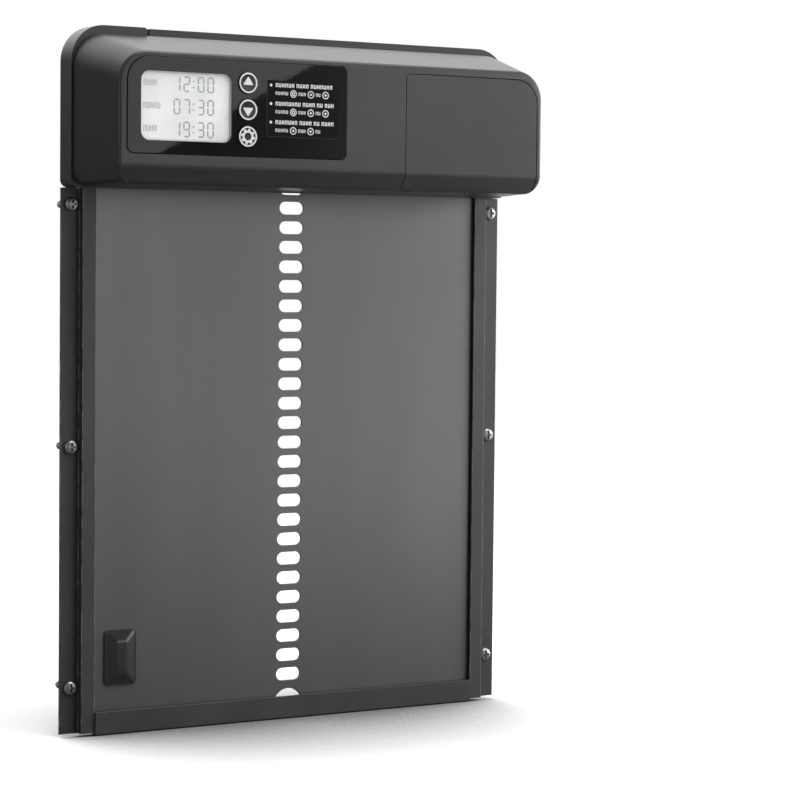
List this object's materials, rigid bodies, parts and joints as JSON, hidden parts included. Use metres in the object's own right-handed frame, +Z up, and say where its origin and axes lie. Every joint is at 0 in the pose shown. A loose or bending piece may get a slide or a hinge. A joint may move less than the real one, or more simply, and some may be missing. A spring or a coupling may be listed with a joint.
{
  "type": "automatic coop door",
  "caption": "Wall-mounted automatic coop door: a slotted sheet door runs up in side rails, driven by a geared motor in a head unit with a display, buttons and battery bay.",
  "frame": {"origin": "middle of the wall-screw pattern, on the plane that lies against the wall", "axes": "+X to the right seen from the front, +Y into the wall, +Z up, the way the door opens"},
  "size_m": [0.27, 0.0718, 0.3674],
  "materials": {
    "black_powder_coat": "satin black powder coat",
    "door_grey": "satin dark grey coat",
    "casing_black": "fine satin texture",
    "panel_gloss": "gloss",
    "grip_gloss": "gloss",
    "button_plastic": "satin",
    "label_print": "printed film",
    "window_clear": "clear",
    "lcd_grey": "reflective display",
    "inner_plastic": "matte",
    "board_green": "solder mask",
    "chip_black": "matte",
    "cell_jacket": "printed sleeve",
    "contact_nickel": "nickel plate",
    "steel_zinc": "zinc plate",
    "motor_steel": "drawn can",
    "gear_acetal": "moulded",
    "gear_brass": "machined",
    "gearbox_plastic": "matte",
    "seal_rubber": "matte"
  },
  "bodies": {
    "frame": {"left_rail": "black_powder_coat", "right_rail": "black_powder_coat", "sill": "black_powder_coat", "tie_plate": "black_powder_coat", "rear_shell": "casing_black", "front_shell": "casing_black", "shell_seal": "seal_rubber", "casing_screws": "steel_zinc", "wall_screws": "steel_zinc", "control_panel": "panel_gloss", "display_window": "window_clear", "instruction_label": "label_print", "lcd_module": "lcd_grey", "display_frame": "inner_plastic", "circuit_board": "board_green", "board_screws": "steel_zinc", "board_posts": "inner_plastic", "board_components": "chip_black", "button_switches": "chip_black", "battery_box": "inner_plastic", "lid_seal": "seal_rubber", "battery_1": "cell_jacket", "battery_2": "cell_jacket", "battery_3": "cell_jacket", "battery_4": "cell_jacket", "contact_springs": "contact_nickel", "contact_plates": "contact_nickel", "motor_can": "motor_steel", "motor_terminals": "contact_nickel", "motor_screws": "steel_zinc", "gearbox_case": "gearbox_plastic", "gearbox_cover": "gearbox_plastic", "gearbox_screws": "steel_zinc", "gear_axles": "steel_zinc", "shaft_bush": "gear_brass"},
    "door": {"door_panel": "door_grey", "lower_grip": "grip_gloss", "upper_grip": "grip_gloss"},
    "output_drive": {"door_pinion": "gear_acetal", "output_shaft": "steel_zinc", "output_gear": "gear_acetal"},
    "second_gear": {"second_gear": "gear_acetal"},
    "first_gear": {"first_gear": "gear_acetal"},
    "rotor": {"motor_shaft": "steel_zinc", "motor_gear": "gear_brass"},
    "up_key": {"up_button": "button_plastic"},
    "down_key": {"down_button": "button_plastic"},
    "set_key": {"set_button": "button_plastic"},
    "lid": {"battery_lid": "casing_black"},
    "lid_fastener": {"lid_screw": "steel_zinc"}
  },
  "joints": [
    {"name": "door_slide", "type": "slide", "parent": "frame", "child": "door", "axis": [0, 0, 1], "range_m": [0, 0.265]},
    {"name": "output_spin", "type": "hinge", "parent": "frame", "child": "output_drive", "pos_m": [0, -0.01577, 0.16807], "axis": [1, 0, 0], "range_deg": [0, 1132]},
    {"name": "second_gear_spin", "type": "hinge", "parent": "frame", "child": "second_gear", "pos_m": [0, -0.02894, 0.17185], "axis": [1, 0, 0], "range_deg": [-2716, 0]},
    {"name": "first_gear_spin", "type": "hinge", "parent": "frame", "child": "first_gear", "pos_m": [0, -0.0371, 0.16292], "axis": [1, 0, 0], "range_deg": [0, 13578]},
    {"name": "motor_spin", "type": "hinge", "parent": "frame", "child": "rotor", "pos_m": [0, -0.0392, 0.151], "axis": [1, 0, 0], "range_deg": [-67885, 0]},
    {"name": "up_press", "type": "slide", "parent": "frame", "child": "up_key", "axis": [0, 1, 0], "range_m": [0, 0.0008], "stiffness_N_per_m": 400, "springref_m": -0.002},
    {"name": "down_press", "type": "slide", "parent": "frame", "child": "down_key", "axis": [0, 1, 0], "range_m": [0, 0.0008], "stiffness_N_per_m": 400, "springref_m": -0.002},
    {"name": "set_press", "type": "slide", "parent": "frame", "child": "set_key", "axis": [0, 1, 0], "range_m": [0, 0.0008], "stiffness_N_per_m": 400, "springref_m": -0.002},
    {"name": "lid_slide", "type": "slide", "parent": "frame", "child": "lid", "axis": [0, 0, -1], "range_m": [0, 0.065]},
    {"name": "lid_screw_turn", "type": "hinge", "parent": "lid", "child": "lid_fastener", "pos_m": [0.0462, -0.0456, 0.14], "axis": [0, 0, 1], "continuous": true}
  ],
  "couplings": [
    {"joint": "output_spin", "follows": "door_slide", "rad_per_m": 74.516},
    {"joint": "second_gear_spin", "follows": "door_slide", "rad_per_m": -178.84},
    {"joint": "first_gear_spin", "follows": "door_slide", "rad_per_m": 894.19},
    {"joint": "motor_spin", "follows": "door_slide", "rad_per_m": -4471}
  ]
}
